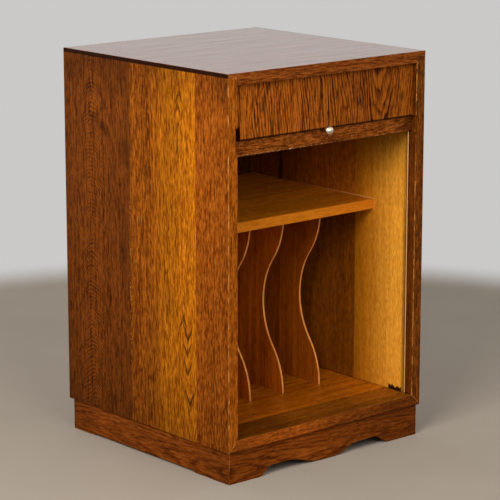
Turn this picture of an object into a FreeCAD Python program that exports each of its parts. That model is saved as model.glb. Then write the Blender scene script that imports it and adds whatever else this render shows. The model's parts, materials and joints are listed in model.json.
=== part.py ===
"""Record cabinet with a roller shutter: an oak box on a scalloped plinth, with a shelf and record dividers.

Frame: +X to the right of someone facing the front, +Y to the back, +Z up, millimetres.
The origin is at floor level under the middle of the cabinet. The shutter is shown fully open.
"""
import FreeCAD, Part
import math
import os

from FreeCAD import Vector

# Overall size
width = 492.0
depth = 487.0
height = 760.0

# Carcass boards
board = 22.0
top_lap = 8.0
back_thickness = 6.0
back_rebate = 10.0
sill_depth = 75.0
arris_radius = 1.2

# Plinth
plinth_height = 62.0
plinth_thickness = 20.0
plinth_inset = 5.0
plinth_back_inset = 8.0
foot_width = 70.0
arch_height = 18.0
pendant_gap = 1.5
# Each arch's inner end, crown start and crown end, as shares of the way from the middle to its foot
left_arch_shares = (0.04, 0.61, 0.78)
right_arch_shares = (0.13, 0.5, 0.74)
side_foot_front = 90.0
side_foot_back = 55.0
side_curve = 24.0
side_relief = 4.0
block_leg = 42.0
block_height = 48.0

# Shelf and record dividers
shelf_clear_height = 355.0
shelf_thickness = 19.0
shelf_setback = 114.5
shelf_housing = 6.0
lipping_depth = 6.0
divider_thickness = 4.0
divider_setback = 176.0
divider_bow = 59.0
divider_groove = 4.0
divider_play = 0.2
divider_place_shares = (0.2, 0.407, 0.597, 0.813)

# Shutter guides in the sides
guide_setback = 10.0
guide_width = 12.0
guide_depth = 5.0
guide_bend = 44.0
guide_top_gap = 7.0
guide_back_gap = 88.0

# Fascia that hides the open shutter
fascia_height = 101.2
fascia_thickness = 4.0
batten = 10.0
access_width = 14.0
access_left_rise = 25.0
access_left_drop = 20.0
access_right_drop = 34.0

# Shutter
spare_slats = 1
slat_pitch = 20.0
slat_gap = 0.8
slat_chamfer = 1.5
slide_clearance = 0.5
bend_clearance = 1.5
canvas_thickness = 0.8
canvas_margin = 8.0
rail_height = 44.0
rail_thickness = 14.0
rail_reveal = 30.8
rail_arris = 1.0

# Knob and its screw
knob_radius = 9.0
knob_clearance = 1.0
knob_offset = -3.5
knob_stem_radius = 3.0
knob_stop_gap = 0.3
screw_radius = 1.8
screw_bite = 12.0
screw_head_radius = 4.0
screw_head_height = 2.2
screw_play = 0.1

# Every cut runs this far past the face that it starts from
overrun = 1.0

# Places worked out from the sizes above
half_width = width / 2
inner_half = half_width - board
front = -depth / 2
back = depth / 2
panel_front = back - back_thickness
floor_top = plinth_height + board
top_underside = height - board
shelf_underside = floor_top + shelf_clear_height
shelf_top = shelf_underside + shelf_thickness
shelf_front = front + shelf_setback
divider_front = front + divider_setback
plinth_half = half_width - plinth_inset
plinth_front_y = front + plinth_inset
plinth_back_y = back - plinth_back_inset

guide_front = front + guide_setback
guide_rear = guide_front + guide_width
guide_high = top_underside - guide_top_gap
guide_low = guide_high - guide_width
bend_z = guide_low - guide_bend
front_bend_y = guide_rear + guide_bend
tail_outer = panel_front - guide_back_gap
tail_inner = tail_outer - guide_width
back_bend_y = tail_inner - guide_bend

fascia_back = guide_front + fascia_thickness
fascia_bottom = top_underside - fascia_height
end_reach = guide_depth - slide_clearance

slat_front = fascia_back + bend_clearance
slat_back = guide_rear - slide_clearance
slat_thickness = slat_back - slat_front
slat_bend = guide_bend + slide_clearance
slat_width = slat_pitch - slat_gap
rail_bottom = fascia_bottom - rail_reveal
rail_top = rail_bottom + rail_height
knob_axis_z = fascia_bottom - knob_stop_gap - knob_stem_radius
shutter_travel = rail_bottom - floor_top - slide_clearance
# As many slats as close the opening over the lowered rail, and those that stay behind the fascia
opening = shutter_travel + fascia_bottom - rail_top
slat_count = math.ceil(opening / slat_pitch) + spare_slats


# Shapes that the pieces share

def box(x_range, y_range, z_range):
    """A block between the given limits."""
    corner = Vector(x_range[0], y_range[0], z_range[0])
    sizes = [limits[1] - limits[0] for limits in (x_range, y_range, z_range)]
    return Part.makeBox(*sizes, corner)


def line(start, end):
    return Part.LineSegment(start, end).toShape()


def arc(start, middle, end):
    return Part.Arc(start, middle, end).toShape()


def polyline(points):
    return [line(a, b) for a, b in zip(points, points[1:])]


def prism(edges, sweep):
    """A solid swept from a closed outline of edges."""
    return Part.Face(Part.Wire(Part.__sortEdges__(edges))).extrude(sweep)


def ogee(start, end, run):
    """Two equal tangent arcs from start to end, which leave and arrive along the unit vector run."""
    span = end - start
    along = span.dot(run)
    across = span - run * along
    offset = across.Length
    sideways = across / offset
    radius = (along ** 2 + offset ** 2) / (4 * offset)
    half_turn = math.asin(abs(along) / (2 * radius)) / 2
    step_along = run * math.copysign(radius * math.sin(half_turn), along)
    step_across = sideways * (radius * (1 - math.cos(half_turn)))
    inflection = start + span / 2
    first = arc(start, start + step_along + step_across, inflection)
    second = arc(inflection, end - step_along - step_across, end)
    return [first, second]


def eased(solid, is_arris, radius):
    """Rounds the edges of a solid that the test picks."""
    edges = [edge for edge in solid.Edges if is_arris(edge)]
    return solid.makeFillet(radius, edges)


def lies_on(edge, axis, value):
    """True where a whole edge lies at one value of an axis: 0 for X, 1 for Y, 2 for Z."""
    tolerance = arris_radius / 100
    return all(abs(vertex.Point[axis] - value) < tolerance for vertex in edge.Vertexes)


def cylinder_y(radius, y_range, x, z):
    """A round bar along Y."""
    length = y_range[1] - y_range[0]
    return Part.makeCylinder(radius, length, Vector(x, y_range[0], z), Vector(0, 1, 0))


def mirrored(solid):
    """The same solid on the other side of the cabinet."""
    return solid.mirror(Vector(0, 0, 0), Vector(1, 0, 0))


# Carcass

def guide_face_edges(x):
    """Outline of the shutter groove in a plane across the cabinet: up the front, over and down to the shelf."""
    outer = guide_bend + guide_width
    diagonal = math.sqrt(0.5)
    point = lambda y, z: Vector(x, y, z)
    around = lambda y, side, radius: point(y + side * radius * diagonal, bend_z + radius * diagonal)
    return [
        line(point(guide_front, floor_top), point(guide_front, bend_z)),
        arc(point(guide_front, bend_z), around(front_bend_y, -1, outer), point(front_bend_y, guide_high)),
        line(point(front_bend_y, guide_high), point(back_bend_y, guide_high)),
        arc(point(back_bend_y, guide_high), around(back_bend_y, 1, outer), point(tail_outer, bend_z)),
        line(point(tail_outer, bend_z), point(tail_outer, shelf_top)),
        line(point(tail_outer, shelf_top), point(tail_inner, shelf_top)),
        line(point(tail_inner, shelf_top), point(tail_inner, bend_z)),
        arc(point(tail_inner, bend_z), around(back_bend_y, 1, guide_bend), point(back_bend_y, guide_low)),
        line(point(back_bend_y, guide_low), point(front_bend_y, guide_low)),
        arc(point(front_bend_y, guide_low), around(front_bend_y, -1, guide_bend), point(guide_rear, bend_z)),
        line(point(guide_rear, bend_z), point(guide_rear, floor_top)),
        line(point(guide_rear, floor_top), point(guide_front, floor_top)),
    ]


def right_side_board(access_top, access_drop):
    """A side with its mitred foot, guides, housings and rebate, as the right-hand one."""
    top = height - top_lap
    outline = [
        Vector(inner_half, front, floor_top),
        Vector(half_width, front, plinth_height),
        Vector(half_width, front, top),
        Vector(inner_half, front, top),
        Vector(inner_half, front, floor_top),
    ]
    side = prism(polyline(outline), Vector(0, depth, 0))
    front_arris = lambda edge: lies_on(edge, 1, front) and edge.BoundBox.ZLength > height / 2
    side = eased(side, front_arris, arris_radius)

    reach = (inner_half - overrun, inner_half + guide_depth)
    guide = prism(guide_face_edges(inner_half - overrun), Vector(guide_depth + overrun, 0, 0))
    fascia_housing = box(reach, (guide_front, fascia_back), (bend_z, top_underside))
    access = box(reach, (front - overrun, guide_front), (fascia_bottom - access_drop, access_top))
    shelf_slot = box(
        (inner_half - overrun, inner_half + shelf_housing),
        (shelf_front, panel_front),
        (shelf_underside, shelf_top),
    )
    rebate = box(
        (inner_half - overrun, inner_half + back_rebate),
        (panel_front, back + overrun),
        (plinth_height - overrun, top_underside),
    )
    for cutter in (guide, fascia_housing, access, shelf_slot, rebate):
        side = side.cut(cutter)
    return side


def left_side():
    return mirrored(right_side_board(fascia_bottom + access_left_rise, access_left_drop))


def right_side():
    return right_side_board(fascia_bottom, access_right_drop)


def top_board():
    """The top, with rebated ends that lap over the sides."""
    lap_underside = height - top_lap
    outline = [
        Vector(-inner_half, front, top_underside),
        Vector(inner_half, front, top_underside),
        Vector(inner_half, front, lap_underside),
        Vector(half_width, front, lap_underside),
        Vector(half_width, front, height),
        Vector(-half_width, front, height),
        Vector(-half_width, front, lap_underside),
        Vector(-inner_half, front, lap_underside),
        Vector(-inner_half, front, top_underside),
    ]
    top = prism(polyline(outline), Vector(0, depth, 0))
    return eased(top, lambda edge: lies_on(edge, 2, height), arris_radius)


def bottom_strip(y_range):
    """A length of the bottom between two depths, mitred to the sides at both ends."""
    outline = [
        Vector(-inner_half, y_range[0], floor_top),
        Vector(-half_width, y_range[0], plinth_height),
        Vector(half_width, y_range[0], plinth_height),
        Vector(inner_half, y_range[0], floor_top),
        Vector(-inner_half, y_range[0], floor_top),
    ]
    return prism(polyline(outline), Vector(0, y_range[1] - y_range[0], 0))


def front_sill():
    sill = bottom_strip((front, front + sill_depth))
    top_arris = lambda edge: lies_on(edge, 1, front) and lies_on(edge, 2, floor_top)
    return eased(sill, top_arris, arris_radius)


def divider_places():
    return [-inner_half + share * 2 * inner_half for share in divider_place_shares]


def divider_grooves(z_range):
    """Grooves for all the dividers, between two levels."""
    reach = (divider_thickness + divider_play) / 2
    ends = (divider_front, panel_front)
    return [box((x - reach, x + reach), ends, z_range) for x in divider_places()]


def floor_board():
    floor = bottom_strip((front + sill_depth, panel_front))
    for groove in divider_grooves((floor_top - divider_groove, floor_top + overrun)):
        floor = floor.cut(groove)
    return floor


def back_panel():
    reach = inner_half + back_rebate
    return box((-reach, reach), (panel_front, back), (plinth_height, top_underside))


def shelf():
    reach = inner_half + shelf_housing
    body = box((-reach, reach), (shelf_front + lipping_depth, panel_front), (shelf_underside, shelf_top))
    for groove in divider_grooves((shelf_underside - overrun, shelf_underside + divider_groove)):
        body = body.cut(groove)
    return body


def shelf_lipping():
    reach = inner_half + shelf_housing
    strip = box((-reach, reach), (shelf_front, shelf_front + lipping_depth), (shelf_underside, shelf_top))
    return eased(strip, lambda edge: lies_on(edge, 1, shelf_front) and edge.Length > inner_half, arris_radius)


def divider(x):
    """A thin record divider whose front edge bows back at mid height."""
    left = x - divider_thickness / 2
    low = floor_top - divider_groove
    high = shelf_underside + divider_groove
    middle = (floor_top + shelf_underside) / 2
    up = Vector(0, 0, 1)
    point = lambda y, z: Vector(left, y, z)
    foot = point(divider_front, floor_top)
    waist = point(divider_front + divider_bow, middle)
    head = point(divider_front, shelf_underside)
    edges = ogee(foot, waist, up) + ogee(waist, head, up)
    edges += polyline([
        head,
        point(divider_front, high),
        point(panel_front, high),
        point(panel_front, low),
        point(divider_front, low),
        foot,
    ])
    return prism(edges, Vector(divider_thickness, 0, 0))


def fascia_panel():
    """Fixed panel over the open shutter, with the access notch in its lower left corner."""
    reach = inner_half + end_reach
    panel = box((-reach, reach), (guide_front, fascia_back), (fascia_bottom, top_underside))
    notch = box(
        (-reach - overrun, -inner_half + access_width),
        (guide_front - overrun, fascia_back + overrun),
        (fascia_bottom - overrun, fascia_bottom + access_left_rise),
    )
    return panel.cut(notch)


def fascia_batten():
    return box((-inner_half, inner_half), (fascia_back, fascia_back + batten), (top_underside - batten, top_underside))


# Plinth

def plinth_front():
    """Front plinth board: two hand-sawn ogee arches with a pendant between them and a foot at each end."""
    run = Vector(1, 0, 0)
    foot_end = plinth_half - foot_width
    point = lambda x, z: Vector(x, plinth_front_y, z)
    edges = polyline([
        point(-foot_end, 0),
        point(-plinth_half, 0),
        point(-plinth_half, plinth_height),
        point(plinth_half, plinth_height),
        point(plinth_half, 0),
        point(foot_end, 0),
    ])
    pendant_ends = []
    for side, arch_shares in ((-1, left_arch_shares), (1, right_arch_shares)):
        inner_end, crown_start, crown_end = [side * share * foot_end for share in arch_shares]
        edges += ogee(point(side * foot_end, 0), point(crown_end, arch_height), run)
        edges.append(line(point(crown_end, arch_height), point(crown_start, arch_height)))
        edges += ogee(point(crown_start, arch_height), point(inner_end, pendant_gap), run)
        pendant_ends.append(point(inner_end, pendant_gap))
    edges.append(line(*pendant_ends))
    apron = prism(edges, Vector(0, plinth_thickness, 0))
    for cutter in (corner_mitre(), mirrored(corner_mitre())):
        apron = apron.cut(cutter)
    return apron


def corner_mitre():
    """Wedge that mitres the right-hand end of the front plinth board from behind."""
    outer = Vector(plinth_half, plinth_front_y, -overrun)
    inner = Vector(plinth_half - plinth_thickness, plinth_front_y + plinth_thickness, -overrun)
    behind = Vector(plinth_half, plinth_front_y + plinth_thickness, -overrun)
    return prism(polyline([outer, inner, behind, outer]), Vector(0, 0, plinth_height + 2 * overrun))


def plinth_side():
    """Right-hand plinth board, mitred to the front, with a shallow relief between its feet."""
    run = Vector(0, 1, 0)
    inner = plinth_half - plinth_thickness
    relief_front = plinth_front_y + side_foot_front
    relief_back = plinth_back_y - side_foot_back
    point = lambda y, z: Vector(inner, y, z)
    edges = polyline([
        point(relief_front, 0),
        point(plinth_front_y, 0),
        point(plinth_front_y, plinth_height),
        point(plinth_back_y, plinth_height),
        point(plinth_back_y, 0),
        point(relief_back, 0),
    ])
    edges += ogee(point(relief_front, 0), point(relief_front + side_curve, side_relief), run)
    edges += ogee(point(relief_back, 0), point(relief_back - side_curve, side_relief), run)
    edges.append(line(point(relief_front + side_curve, side_relief), point(relief_back - side_curve, side_relief)))
    side = prism(edges, Vector(plinth_thickness, 0, 0))
    outer = Vector(plinth_half, plinth_front_y, -overrun)
    ahead = Vector(inner, plinth_front_y, -overrun)
    behind = Vector(inner, plinth_front_y + plinth_thickness, -overrun)
    wedge = prism(polyline([outer, ahead, behind, outer]), Vector(0, 0, plinth_height + 2 * overrun))
    return side.cut(wedge)


def plinth_back():
    reach = plinth_half - plinth_thickness
    return box((-reach, reach), (plinth_back_y - plinth_thickness, plinth_back_y), (0, plinth_height))


def plinth_block(side, end):
    """Triangular glue block in a corner: side is -1 or 1 for left or right, end -1 or 1 for front or back."""
    x = side * (plinth_half - plinth_thickness)
    y = plinth_front_y + plinth_thickness if end < 0 else plinth_back_y - plinth_thickness
    base = plinth_height - block_height
    corner = Vector(x, y, base)
    outline = [corner, Vector(x - side * block_leg, y, base), Vector(x, y - end * block_leg, base), corner]
    return prism(polyline(outline), Vector(0, 0, block_height))


# Shutter

def lead_rail():
    """Thick rail at the shutter's lower edge, with thin tongues that run in the guides."""
    rail = box((-inner_half + slide_clearance, inner_half - slide_clearance),
               (slat_front, slat_front + rail_thickness), (rail_bottom, rail_top))
    lower_arris = lambda edge: lies_on(edge, 2, rail_bottom) and edge.Length > inner_half
    rail = eased(rail, lower_arris, rail_arris)
    reach = inner_half + end_reach
    tongue = box((-reach, reach), (slat_front, slat_back), (rail_bottom + rail_arris, rail_top))
    rail = rail.fuse(tongue).removeSplitter()
    screw_hole = cylinder_y(screw_radius + screw_play, (slat_front - overrun, slat_front + rail_thickness + overrun),
                            knob_offset, knob_axis_z)
    return rail.cut(screw_hole)


def knob():
    """Ball knob on a short stem, just clear of the fascia, with a blind hole for its screw."""
    centre = Vector(knob_offset, guide_front - knob_clearance - knob_radius, knob_axis_z)
    ball = Part.makeSphere(knob_radius, centre, Vector(0, 1, 0))
    stem = cylinder_y(knob_stem_radius, (centre.y, slat_front), knob_offset, knob_axis_z)
    hole = cylinder_y(screw_radius + screw_play, (slat_front - screw_bite - screw_play, slat_front + overrun),
                      knob_offset, knob_axis_z)
    return ball.fuse(stem).removeSplitter().cut(hole)


def knob_screw():
    """Screw from behind the rail into the knob."""
    rail_back = slat_front + rail_thickness
    shank = cylinder_y(screw_radius, (slat_front - screw_bite, rail_back), knob_offset, knob_axis_z)
    head = cylinder_y(screw_head_radius, (rail_back, rail_back + screw_head_height), knob_offset, knob_axis_z)
    return shank.fuse(head).removeSplitter()


def shutter_path():
    """The runs of the line that the slats' backs follow from the lead rail's top, each with its length."""
    quarter = slat_bend * math.pi / 2
    return [
        ("up", bend_z - rail_top),
        ("front bend", quarter),
        ("over", back_bend_y - front_bend_y),
        ("back bend", quarter),
        ("down", bend_z - shelf_top),
    ]


def place_on_path(distance):
    """Point and direction on the shutter's path, as (y, z) and the angle turned from straight up."""
    for run, length in shutter_path():
        if distance <= length or run == "down":
            break
        distance -= length
    turn = distance / slat_bend
    if run == "up":
        return (slat_back, rail_top + distance), 0.0
    if run == "front bend":
        y = front_bend_y - slat_bend * math.cos(turn)
        return (y, bend_z + slat_bend * math.sin(turn)), turn
    if run == "over":
        return (front_bend_y + distance, bend_z + slat_bend), math.pi / 2
    if run == "back bend":
        y = back_bend_y + slat_bend * math.sin(turn)
        return (y, bend_z + slat_bend * math.cos(turn)), math.pi / 2 + turn
    return (back_bend_y + slat_bend, bend_z - distance), math.pi


def slat(number):
    """One slat with chamfered front edges, laid along the shutter's path where it is stored."""
    reach = inner_half + end_reach
    half = slat_width / 2
    strip = box((-reach, reach), (-slat_thickness, 0), (-half, half))
    long_edges = [edge for edge in strip.Edges if edge.Length > inner_half and lies_on(edge, 1, -slat_thickness)]
    strip = strip.makeChamfer(slat_chamfer, long_edges)
    (y, z), turn = place_on_path((number - 1) * slat_pitch + slat_pitch / 2)
    strip.rotate(Vector(0, 0, 0), Vector(1, 0, 0), -math.degrees(turn))
    strip.translate(Vector(0, y, z))
    return strip


def cloth_point(distance, inset):
    """Point on the cloth's outline, inset from the slats' backs towards the inside of the bends."""
    (y, z), turn = place_on_path(distance)
    return Vector(-inner_half + canvas_margin, y + inset * math.cos(turn), z - inset * math.sin(turn))


def cloth_side(inset):
    """Edges of one face of the cloth from the rail to the last slat, a line or an arc for each run."""
    edges = []
    reached = 0.0
    cloth_end = slat_count * slat_pitch
    for run, length in shutter_path():
        start, end = reached, min(reached + length, cloth_end)
        if run == "down":
            end = cloth_end
        if start >= cloth_end:
            break
        if run.endswith("bend"):
            edges.append(arc(*[cloth_point(at, inset) for at in (start, (start + end) / 2, end)]))
        else:
            edges.append(line(cloth_point(start, inset), cloth_point(end, inset)))
        reached = end
    return edges


def canvas():
    """Cloth on the slats' backs: one strip that follows the shutter's path."""
    cloth_end = slat_count * slat_pitch
    ends = [line(cloth_point(at, 0), cloth_point(at, canvas_thickness)) for at in (0.0, cloth_end)]
    edges = cloth_side(0) + cloth_side(canvas_thickness) + ends
    return prism(edges, Vector(2 * (inner_half - canvas_margin), 0, 0))


# All the pieces by name

def pieces():
    found = {
        "left_side": left_side(),
        "right_side": right_side(),
        "top_board": top_board(),
        "front_sill": front_sill(),
        "floor_board": floor_board(),
        "back_panel": back_panel(),
        "shelf": shelf(),
        "shelf_lipping": shelf_lipping(),
        "fascia_panel": fascia_panel(),
        "fascia_batten": fascia_batten(),
        "plinth_front": plinth_front(),
        "plinth_left": mirrored(plinth_side()),
        "plinth_right": plinth_side(),
        "plinth_back": plinth_back(),
        "lead_rail": lead_rail(),
        "knob": knob(),
        "knob_screw": knob_screw(),
        "canvas": canvas(),
    }
    for number, x in enumerate(divider_places(), start=1):
        found["divider_%d" % number] = divider(x)
    corners = [(side, end) for end in (-1, 1) for side in (-1, 1)]
    for number, (side, end) in enumerate(corners, start=1):
        found["plinth_block_%d" % number] = plinth_block(side, end)
    for number in range(1, slat_count + 1):
        found["slat_%02d" % number] = slat(number)
    return found


def main():
    os.makedirs("parts", exist_ok=True)
    for name, solid in pieces().items():
        assert solid.isValid() and len(solid.Solids) == 1, name
        solid.Solids[0].exportStep("parts/%s.step" % name)
    print("shutter travel %.1f mm" % shutter_travel)


main()
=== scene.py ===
"""Looks of the record cabinet: oak boards, the roller shutter's curtain, stage, light and camera."""
import json
import math

import bmesh
import bpy
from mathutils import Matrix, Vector

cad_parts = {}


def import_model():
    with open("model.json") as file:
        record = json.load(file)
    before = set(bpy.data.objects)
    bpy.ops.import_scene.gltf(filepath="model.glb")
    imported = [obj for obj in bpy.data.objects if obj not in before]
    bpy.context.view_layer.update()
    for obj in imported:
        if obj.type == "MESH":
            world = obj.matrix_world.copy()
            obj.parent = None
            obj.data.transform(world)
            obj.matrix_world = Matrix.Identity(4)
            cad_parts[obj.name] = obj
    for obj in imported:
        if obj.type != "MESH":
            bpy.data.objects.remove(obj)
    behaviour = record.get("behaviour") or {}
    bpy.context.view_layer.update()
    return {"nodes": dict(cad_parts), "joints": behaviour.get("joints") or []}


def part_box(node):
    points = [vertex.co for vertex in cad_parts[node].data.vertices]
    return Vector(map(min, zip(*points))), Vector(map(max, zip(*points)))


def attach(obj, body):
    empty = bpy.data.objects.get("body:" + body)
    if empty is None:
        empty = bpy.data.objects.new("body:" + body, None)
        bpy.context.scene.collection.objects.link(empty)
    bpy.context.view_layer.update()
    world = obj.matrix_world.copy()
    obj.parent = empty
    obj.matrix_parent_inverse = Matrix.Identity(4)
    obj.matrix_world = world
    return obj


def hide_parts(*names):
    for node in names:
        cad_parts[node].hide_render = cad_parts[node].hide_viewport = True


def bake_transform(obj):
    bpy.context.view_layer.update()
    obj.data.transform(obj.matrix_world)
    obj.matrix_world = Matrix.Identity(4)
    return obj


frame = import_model()
nodes = frame["nodes"]

# Places read from the frame, in metres
mm = 0.001
side_low, side_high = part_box("left_side")
floor_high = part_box("floor_board")[1]
sill_low, sill_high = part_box("front_sill")
shelf_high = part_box("shelf_lipping")[1]
rail_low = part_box("lead_rail")[0]
slat_low, slat_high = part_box("slat_01")
canvas_low, canvas_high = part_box("canvas")
fascia_low, fascia_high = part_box("fascia_panel")
front = side_low.y
travel = frame["joints"][0]["range_m"][1]

# Heights and depths for the patterns, in millimetres
front_mm = front / mm
shelf_top = shelf_high.z / mm
floor_top = floor_high.z / mm
rail_foot = rail_low.z / mm
fascia_foot = fascia_low.z / mm
fascia_head = fascia_high.z / mm
side_head = side_high.z / mm
sill_foot = sill_low.z / mm
sill_depth = (sill_high.y - front) / mm


# Octaves of detail in a noise, and its mean
smooth = 1.0
plain = 2.0
rich = 3.0
noise_mean = 0.5


class Shader:
    """A node tree in the making: each method adds a node and returns its output."""

    def __init__(self, tree):
        self.tree = tree

    def add(self, kind, **settings):
        """A new node with its settings, given back as a node."""
        node = self.tree.nodes.new("ShaderNode" + kind)
        for name, value in settings.items():
            setattr(node, name, value)
        return node

    def feed(self, socket, value):
        """Links an output to a socket, or sets the socket's own value."""
        if isinstance(value, bpy.types.NodeSocket):
            self.tree.links.new(value, socket)
        else:
            socket.default_value = value

    def fed(self, node, *values):
        """The outputs of a node whose first sockets are fed in order."""
        for socket, value in zip(node.inputs, values):
            self.feed(socket, value)
        return node.outputs

    def math(self, operation, *values, clamp=False):
        return self.fed(self.add("Math", operation=operation, use_clamp=clamp), *values)[0]

    def vector(self, operation, *values):
        outputs = self.fed(self.add("VectorMath", operation=operation), *values)
        return outputs["Value" if operation in ("DOT_PRODUCT", "LENGTH") else "Vector"]

    def split(self, vector):
        return tuple(self.fed(self.add("SeparateXYZ"), vector))

    def join(self, *values):
        return self.fed(self.add("CombineXYZ"), *values)[0]

    def noise(self, place, stretch, detail=plain):
        """Soft noise around 0.5, with so many cycles for each millimetre along the three axes."""
        node = self.add("TexNoise")
        self.feed(node.inputs["Vector"], self.vector("MULTIPLY", place, stretch))
        node.inputs["Scale"].default_value = 1.0
        node.inputs["Detail"].default_value = detail
        return node.outputs[0]

    def swing(self, value, amount):
        """A value from 0 to 1 turned into one from minus to plus amount."""
        return self.times(self.math("MULTIPLY_ADD", value, 2.0, -1.0), amount)

    def mixed(self, kind, share, a, b):
        """Goes from a to b, of one kind of data, as share goes from 0 to 1."""
        node = self.add("Mix", data_type=kind)
        for name, value in (("Factor", share), ("A", a), ("B", b)):
            self.feed(node.inputs[name], value)
        return node.outputs["Result"]

    def between(self, share, a, b):
        """Goes from number a to number b."""
        return self.mixed("FLOAT", share, a, b)

    def blend(self, share, a, b):
        """Goes from colour a to colour b."""
        return self.mixed("RGBA", share, a, b)

    def times(self, a, b):
        """One value times another."""
        return self.math("MULTIPLY", a, b)

    def minus(self, a, b):
        """One value less another."""
        return self.math("SUBTRACT", a, b)

    def total(self, *values):
        """The sum of several outputs."""
        whole = values[0]
        for value in values[1:]:
            whole = self.math("ADD", whole, value)
        return whole

    def fade(self, value, start, end):
        """Rises smoothly from 0 at start to 1 at end."""
        node = self.add("MapRange", interpolation_type="SMOOTHSTEP")
        self.feed(node.inputs["Value"], value)
        self.feed(node.inputs["From Min"], start)
        self.feed(node.inputs["From Max"], end)
        return node.outputs[0]

    def near(self, value, place, reach):
        """Rises smoothly from 0 at one distance from a place to 1 at another."""
        return self.fade(value, place + reach[0], place + reach[1])

    def ramp(self, value, stops):
        """A value looked up in (position, level) stops, where a level is a number or a colour."""
        node = self.add("ValToRGB")
        elements = node.color_ramp.elements
        while len(elements) < len(stops):
            elements.new(1.0)
        for element, (position, level) in zip(elements, stops):
            element.position = position
            element.color = level if isinstance(level, tuple) else (level, level, level, 1.0)
        self.feed(node.inputs[0], value)
        return node.outputs[0]

    def darken(self, colour, share, strength):
        """Darkens a colour where share is 1, by strength."""
        keep = self.minus(1.0, self.times(share, strength))
        return self.vector("MULTIPLY", colour, self.join(keep, keep, keep))

    def lined(self, colour, value, place, line):
        """A colour with a dark line beside a place, as (start, full, strength)."""
        return self.darken(colour, self.near(value, place, line), line[2])


def srgb(red, green, blue):
    """A linear colour from the 0 to 255 levels that a picture shows."""
    def linear(level):
        share = level / 255
        return share / 12.92 if share < 0.04045 else ((share + 0.055) / 1.055) ** 2.4
    return (linear(red), linear(green), linear(blue), 1.0)


# Cosines of the turn between a face and its rounded arris, from the flat to the full arris
arris_turn = (0.99, 0.88)
arris_samples = 4
# The outline of a ragged oval: cycles for each millimetre, and where it fades out and is full
oval_cycles = (0.12, 0.0, 0.06)
oval_fade = (1.0, 0.3)
oval_ragged = 0.5
# Satin varnish: roughness, the cycles of its soft streaks, and how much it mirrors
satin = 0.42
gloss_cycles = (0.05, 0.05, 0.01)
wood_gloss = 0.03
# Depth in metres and strength of the wood's relief
grain_depth = 0.0004
grain_relief = 0.5


class Surface(Shader):
    """A material whose places are in millimetres, turned so that the grain runs along the third axis."""

    def __init__(self, name, order, place_attribute=None):
        self.material = bpy.data.materials.new(name)
        self.material.use_nodes = True
        super().__init__(self.material.node_tree)
        self.shader = self.tree.nodes["Principled BSDF"]
        coordinates = self.add("TexCoord")
        point = coordinates.outputs["Object"]
        if place_attribute:
            point = self.add("Attribute", attribute_name=place_attribute).outputs["Vector"]
        point_mm = self.vector("MULTIPLY", point, (1 / mm, 1 / mm, 1 / mm))
        places = self.x, self.y, self.z = self.split(point_mm)
        facings = self.facing_x, self.facing_y, self.facing_z = self.split(coordinates.outputs["Normal"])
        axes = ["xyz".index(axis) for axis in order]
        self.place = self.join(*(places[axis] for axis in axes))
        self.end_facing = self.math("ABSOLUTE", facings[axes[2]])
        self.across, self.through, self.along = self.split(self.place)
        self.depth = self.minus(self.y, front_mm)

    def edges(self, radius):
        """1 on the arrises and 0 on the flats."""
        bevel = self.add("Bevel", samples=arris_samples)
        bevel.inputs["Radius"].default_value = radius
        normal = self.add("NewGeometry").outputs["Normal"]
        straight = self.vector("DOT_PRODUCT", bevel.outputs[0], normal)
        return self.fade(straight, *arris_turn)

    def patches(self, stretch, limits):
        """Irregular patches, 1 inside, where a noise passes from the first limit to the second."""
        return self.fade(self.noise(self.place, stretch, rich), *limits)

    def spot(self, across, along, wide, tall):
        """1 in the middle of a ragged oval of half a width and half a height, 0 outside it."""
        offset = self.vector("SUBTRACT", self.place, (across, 0.0, along))
        reach = self.vector("LENGTH", self.vector("MULTIPLY", offset, (1 / wide, 0.0, 1 / tall)))
        ragged = self.swing(self.noise(self.place, oval_cycles, rich), oval_ragged / 2)
        return self.fade(self.math("ADD", reach, ragged), *oval_fade)

    def spotted(self, colour, spots):
        """A colour darkened by spots (across, along, wide, tall, strength); below 0 they lighten it."""
        for across, along, wide, tall, strength in spots:
            colour = self.darken(colour, self.spot(across, along, wide, tall), strength)
        return colour

    def band(self, value, low, high, soft):
        """1 between low and high, with soft ends."""
        rise = self.fade(value, low - soft, low + soft)
        fall = self.fade(value, high + soft, high - soft)
        return self.times(rise, fall)

    def toned(self, colour, value, levels):
        """A colour times listed (value, level) stops."""
        low, high = levels[0][0], levels[-1][0]
        share = self.math("DIVIDE", self.minus(value, low), high - low)
        stops = [((place - low) / (high - low), level) for place, level in levels]
        level = self.ramp(share, stops)
        return self.vector("MULTIPLY", colour, self.join(level, level, level))

    def uneven(self, roughness, spread):
        """A roughness that varies in soft streaks along the grain."""
        return self.math("MULTIPLY_ADD", self.noise(self.place, gloss_cycles), spread, roughness - spread / 2)

    def finish(self, colour, height, roughness=satin, specular=wood_gloss, bump_distance=grain_depth,
               bump_strength=grain_relief):
        """Joins colour, relief and gloss to the shader and gives the material back."""
        shader = self.shader
        self.feed(shader.inputs["Base Color"], colour)
        self.feed(shader.inputs["Roughness"], roughness)
        shader.inputs["Specular IOR Level"].default_value = specular
        bump = self.add("Bump")
        bump.inputs["Distance"].default_value = bump_distance
        bump.inputs["Strength"].default_value = bump_strength
        self.feed(bump.inputs["Height"], height)
        self.feed(shader.inputs["Normal"], bump.outputs[0])
        return self.material


class Board:
    """How one oak board looks: its tones, its heart in millimetres, and how strong each figure is."""

    def __init__(self, pale, mid, dark, seed, **figures):
        self.tones = [srgb(*dark), srgb(*mid), srgb(*pale)]
        self.figures = {**plain_figures, "seed": seed, **figures}


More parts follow.
